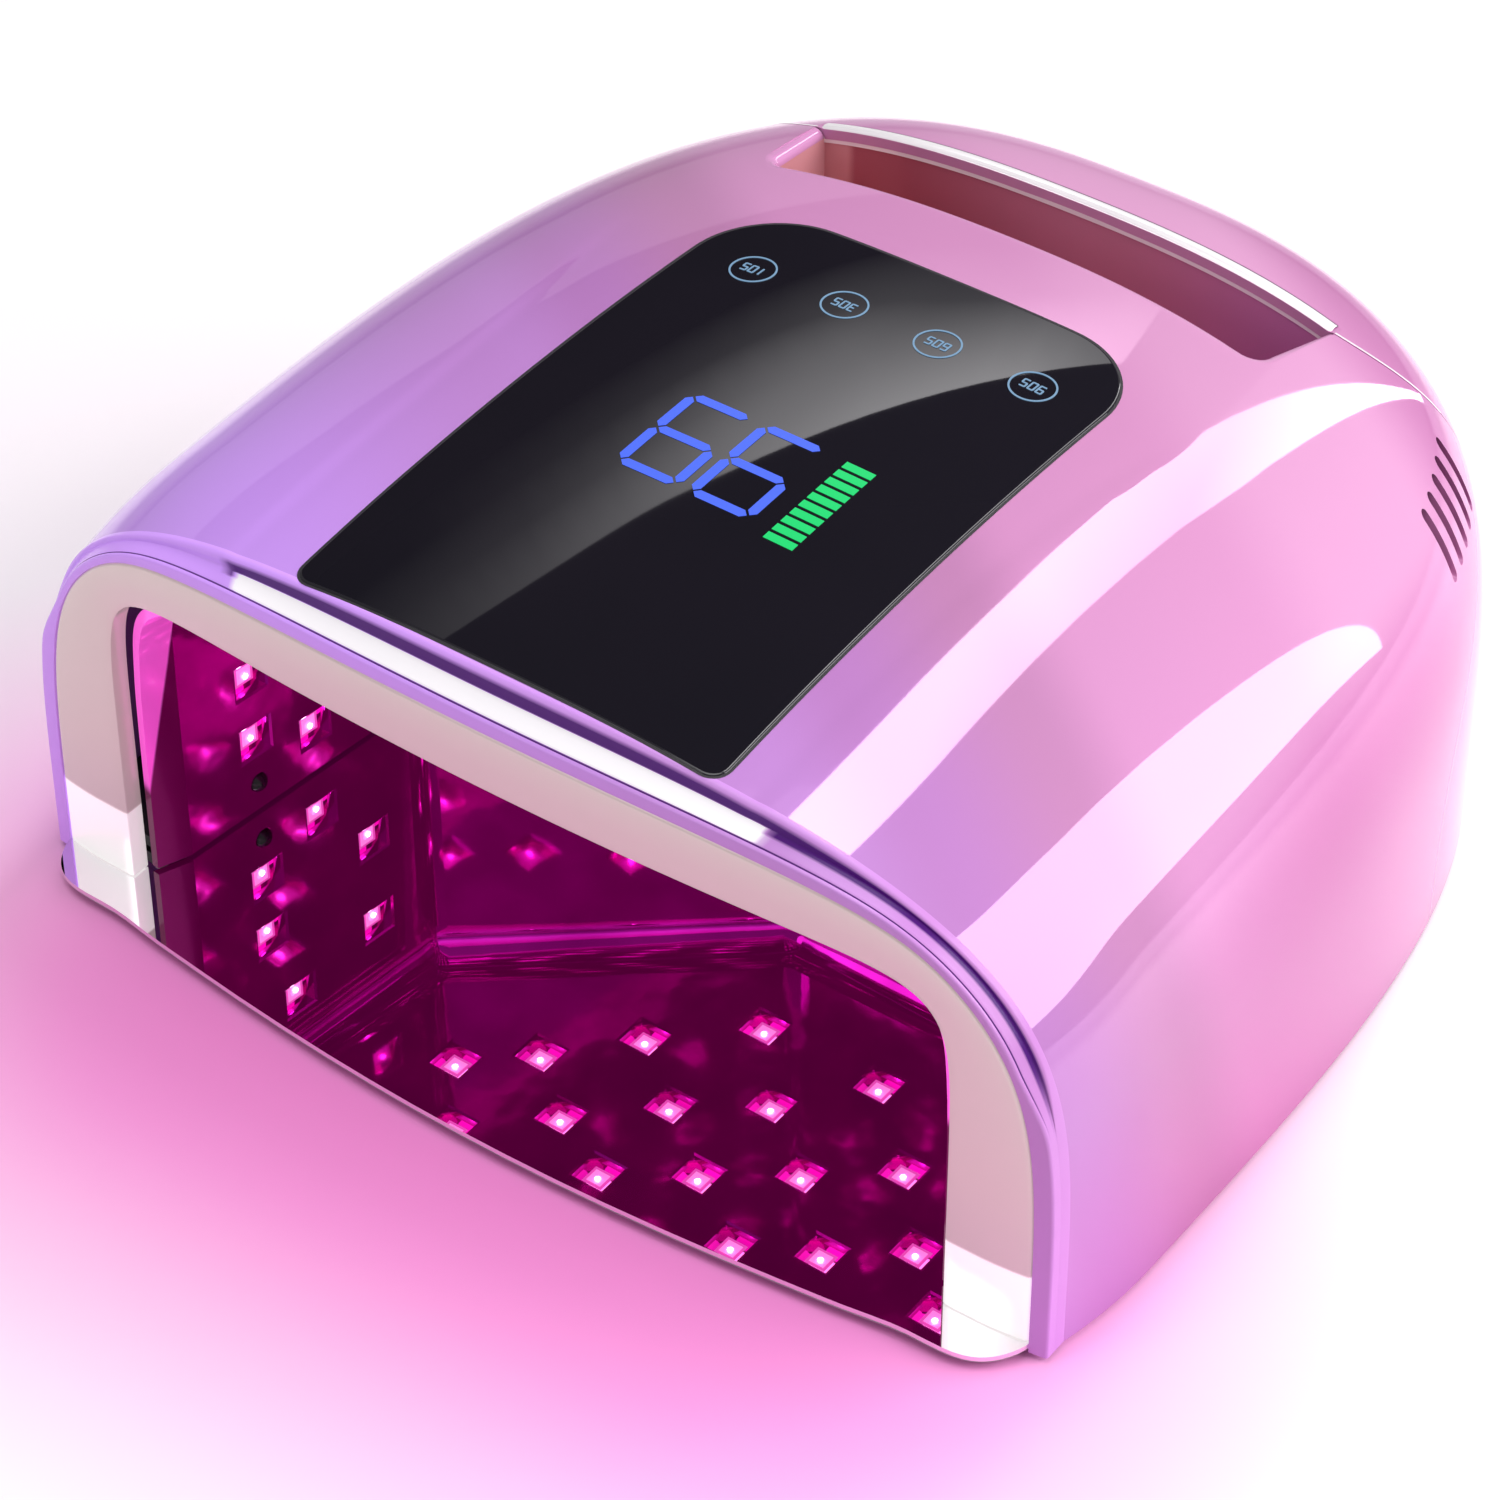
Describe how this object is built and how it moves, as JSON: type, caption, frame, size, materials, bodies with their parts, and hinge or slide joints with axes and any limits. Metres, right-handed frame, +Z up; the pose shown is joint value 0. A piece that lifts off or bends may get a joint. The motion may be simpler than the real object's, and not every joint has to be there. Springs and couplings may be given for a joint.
{
  "type": "gel nail curing lamp",
  "caption": "Domed tabletop lamp that cures gel nail polish, with a mirrored hand cavity, glass touch panel, grip pocket and lift-off base tray.",
  "frame": {"origin": "centre of the footprint, on the plane the feet stand on", "axes": "+X to the right of someone facing the hand opening, +Y from the hand opening to the rear, +Z up"},
  "size_m": [0.2296, 0.2216, 0.1046],
  "materials": {
    "plated_shell": "electroplated gloss shading from violet at the front to rose at the rear",
    "trim_chrome": "polished",
    "pocket_pink": "gloss rose",
    "bezel_chrome": "polished, warm grey",
    "reflector_mirror": "vacuum metallised",
    "led_board": "white solder mask on metal core",
    "led_glow": "lit, magenta",
    "led_lens": "clear silicone",
    "sensor_black": "infrared black",
    "panel_glass": "black back-printed, gloss",
    "adhesive_black": "foam tape",
    "legend_ink": "pale blue print, back lit",
    "digit_glow": "lit, blue",
    "charge_glow": "lit, green",
    "circuit_board": "green solder mask",
    "module_black": "moulded",
    "spring_steel": "plated",
    "heat_sink_metal": "extruded",
    "capacitor_sleeve": "sleeve",
    "cell_wrap": "shrink wrap",
    "inner_plastic": "moulded, fine grain",
    "nickel": "nickel plated",
    "fan_black": "moulded",
    "port_black": "moulded",
    "rocker_black": "moulded",
    "magnet_nickel": "nickel plated",
    "screw_steel": "zinc",
    "plate_mirror": "mirror polished stainless",
    "tray_plastic": "moulded grey",
    "foot_rubber": "moulded",
    "ribbon_film": "polyimide film",
    "lead_sleeve": "insulated lead",
    "lead_red": "insulated lead"
  },
  "bodies": {
    "tray": {"mirror_plate": "plate_mirror", "tray_pan": "tray_plastic", "rubber_feet": "foot_rubber"},
    "housing": {"upper_shell": "plated_shell", "rear_cover": "plated_shell", "grip_trim": "trim_chrome", "grip_pocket_liner": "pocket_pink", "front_bezel": "bezel_chrome", "mouth_flare": "reflector_mirror", "reflector": "reflector_mirror", "ceiling_led_board": "led_board", "ceiling_led_chips": "led_glow", "ceiling_led_lenses": "led_lens", "right_led_board": "led_board", "left_led_board": "led_board", "right_led_chips": "led_glow", "left_led_chips": "led_glow", "right_led_lenses": "led_lens", "left_led_lenses": "led_lens", "presence_receiver": "sensor_black", "presence_emitter": "sensor_black", "glass_panel": "panel_glass", "panel_adhesive": "adhesive_black", "key_legends": "legend_ink", "lit_digits": "digit_glow", "lit_charge_bar": "charge_glow", "touch_board": "circuit_board", "display_module": "module_black", "touch_springs": "spring_steel", "main_board": "circuit_board", "heat_sink": "heat_sink_metal", "buzzer": "module_black", "capacitors": "capacitor_sleeve", "battery_cells": "cell_wrap", "battery_cradle": "inner_plastic", "battery_strips": "nickel", "battery_board": "circuit_board", "fan_frame": "fan_black", "fan_bracket": "inner_plastic", "power_inlet": "port_black", "inlet_pin": "nickel", "switch_frame": "port_black", "chassis": "inner_plastic", "holding_magnets": "magnet_nickel", "chassis_screws": "screw_steel", "panel_ribbon": "ribbon_film", "led_loom": "lead_sleeve", "side_looms": "lead_sleeve", "battery_leads": "lead_red"},
    "rocker": {"power_rocker": "rocker_black"},
    "fan": {"fan_rotor": "fan_black"}
  },
  "joints": [
    {"name": "tray_release", "type": "slide", "parent": "tray", "child": "housing", "axis": [0, 0, 1], "range_m": [0, 0.05]},
    {"name": "power_switch", "type": "hinge", "parent": "housing", "child": "rocker", "pos_m": [0.016, 0.1064, 0.022], "axis": [1, 0, 0], "range_deg": [0, 18]},
    {"name": "fan_spin", "type": "hinge", "parent": "housing", "child": "fan", "pos_m": [0.0805, 0.06, 0.046], "axis": [1, 0, 0], "continuous": true}
  ]
}
